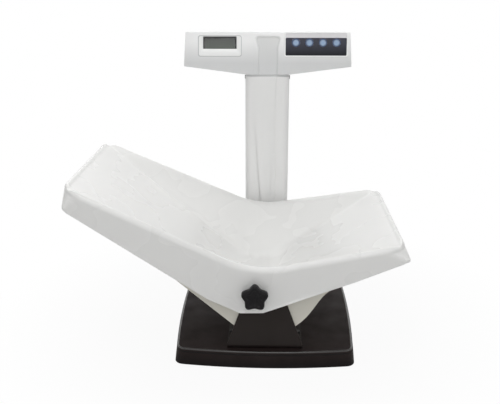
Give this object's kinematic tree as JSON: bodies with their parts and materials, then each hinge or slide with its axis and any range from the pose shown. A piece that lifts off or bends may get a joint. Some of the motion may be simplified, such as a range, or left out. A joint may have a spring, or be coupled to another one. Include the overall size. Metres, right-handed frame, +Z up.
{
  "type": "baby weighing scale",
  "caption": "Digital baby scale: white V-shaped seat clamped to a black weighing platform by a star knob, with a T-shaped display head on a post.",
  "frame": {"origin": "on the floor, at the middle of the rubber foot under the middle of the platform", "axes": "+X to the viewer's right facing the display, +Y from the knob towards the post, +Z up"},
  "size_m": [0.606, 0.4726, 0.5852],
  "materials": {
    "tray_white": "gloss",
    "saddle_cream": "satin",
    "case_white": "satin",
    "post_white": "satin",
    "cover_black": "pebbled",
    "bracket_black": "satin",
    "pan_grey": "matt",
    "plate_steel": "matt",
    "rubber_black": "matt",
    "cell_aluminium": "milled",
    "screw_steel": "zinc plated",
    "insert_brass": "turned",
    "knob_black": "satin",
    "board_green": "solder mask",
    "wire_grey": "matt",
    "cable_black": "matt",
    "plate_white": "satin",
    "window_clear": "clear",
    "lcd_grey": "satin",
    "frame_white": "gloss",
    "panel_dark": "satin",
    "strip_pale": "satin",
    "key_blue": "satin",
    "switch_metal": "satin",
    "box_black": "matt",
    "cell_wrap": "satin"
  },
  "bodies": {
    "base": {"base_pan": "pan_grey", "rubber_feet": "rubber_black", "load_cells": "cell_aluminium", "cell_screws": "screw_steel", "summing_board": "board_green", "cell_wires": "wire_grey", "signal_cable": "cable_black", "post_foot": "pan_grey", "post_foot_screws": "screw_steel", "post": "post_white", "head_front_case": "case_white", "head_rear_case": "case_white", "neck_screws": "screw_steel", "case_screws": "screw_steel", "display_plate": "plate_white", "display_window": "window_clear", "lcd_module": "lcd_grey", "keypad_frame": "frame_white", "keypad_panel": "panel_dark", "keypad_strip": "strip_pale", "key_switches": "switch_metal", "display_board": "board_green", "key_board": "board_green", "board_link": "wire_grey", "battery_box": "box_black", "batteries": "cell_wrap", "battery_contacts": "switch_metal", "power_socket": "box_black"},
    "platform": {"platform_cover": "cover_black", "platform_plate": "plate_steel", "load_buttons": "rubber_black", "seat_bracket": "bracket_black", "bracket_screws": "screw_steel"},
    "seat": {"seat_tray": "tray_white", "seat_saddle": "saddle_cream", "saddle_screws": "screw_steel", "clamp_insert": "insert_brass", "rear_pin": "screw_steel"},
    "washer": {"clamp_washer": "screw_steel"},
    "knob": {"clamp_knob": "knob_black", "clamp_stud": "screw_steel"},
    "first_key": {"key_1": "key_blue"},
    "second_key": {"key_2": "key_blue"},
    "third_key": {"key_3": "key_blue"},
    "fourth_key": {"key_4": "key_blue"},
    "door": {"battery_door": "case_white"}
  },
  "joints": [
    {"name": "platform_sink", "type": "slide", "parent": "base", "child": "platform", "axis": [0, 0, -1], "range_m": [0, 0.0005], "stiffness_N_per_m": 250000, "springref_m": -0.00045},
    {"name": "seat_lift", "type": "slide", "parent": "platform", "child": "seat", "axis": [0, 0, 1], "range_m": [0, 0.14]},
    {"name": "washer_slide", "type": "slide", "parent": "seat", "child": "washer", "axis": [0, -1, 0], "range_m": [0, 0.0025]},
    {"name": "knob_turn", "type": "hinge", "parent": "washer", "child": "knob", "pos_m": [-0.018, -0.226, 0.156], "axis": [0, -1, 0], "range_deg": [0, 720]},
    {"name": "first_key_press", "type": "slide", "parent": "base", "child": "first_key", "axis": [0, 0.9848, -0.1736], "range_m": [0, 0.0006], "stiffness_N_per_m": 1500, "springref_m": -0.0003},
    {"name": "second_key_press", "type": "slide", "parent": "base", "child": "second_key", "axis": [0, 0.9848, -0.1736], "range_m": [0, 0.0006], "stiffness_N_per_m": 1500, "springref_m": -0.0003},
    {"name": "third_key_press", "type": "slide", "parent": "base", "child": "third_key", "axis": [0, 0.9848, -0.1736], "range_m": [0, 0.0006], "stiffness_N_per_m": 1500, "springref_m": -0.0003},
    {"name": "fourth_key_press", "type": "slide", "parent": "base", "child": "fourth_key", "axis": [0, 0.9848, -0.1736], "range_m": [0, 0.0006], "stiffness_N_per_m": 1500, "springref_m": -0.0003},
    {"name": "door_slide", "type": "slide", "parent": "base", "child": "door", "axis": [0, 1, 0], "range_m": [0, 0.03]}
  ],
  "couplings": [
    {"joint": "knob_turn", "follows": "washer_slide", "rad_per_m": 5026.5}
  ]
}
